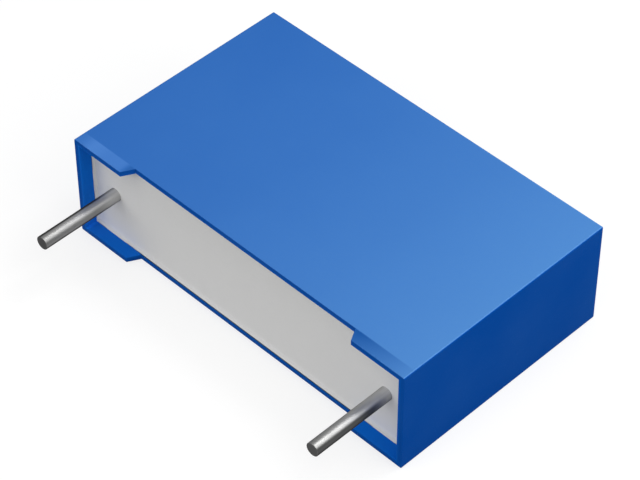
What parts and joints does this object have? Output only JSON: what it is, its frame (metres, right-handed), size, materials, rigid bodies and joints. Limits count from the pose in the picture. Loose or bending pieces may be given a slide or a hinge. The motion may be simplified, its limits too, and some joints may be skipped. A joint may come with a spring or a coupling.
{
  "type": "box film capacitor",
  "caption": "Flat blue box film capacitor with corner feet round a grey resin face and straight tinned leads.",
  "frame": {"origin": "axis of the left lead, in the plane of the feet that stand on the board", "axes": "+X along the lead row to the right lead, +Y from the board to the closed end of the case, +Z through the thickness; the part lies on its wide face at Z = -2.5 mm"},
  "size_m": [0.018, 0.0142, 0.005],
  "materials": {
    "case": "satin moulded",
    "resin": "cast, slightly satin",
    "film": "metallised film",
    "wrap": "clear film",
    "sprayed_metal": "rough sprayed",
    "lead": "bright tinned"
  },
  "bodies": {
    "root": {"case": "case", "resin_filling": "resin", "film_roll": "film", "outer_wrap": "wrap", "end_spray_left": "sprayed_metal", "end_spray_right": "sprayed_metal", "lead_left": "lead", "lead_right": "lead"}
  },
  "joints": []
}
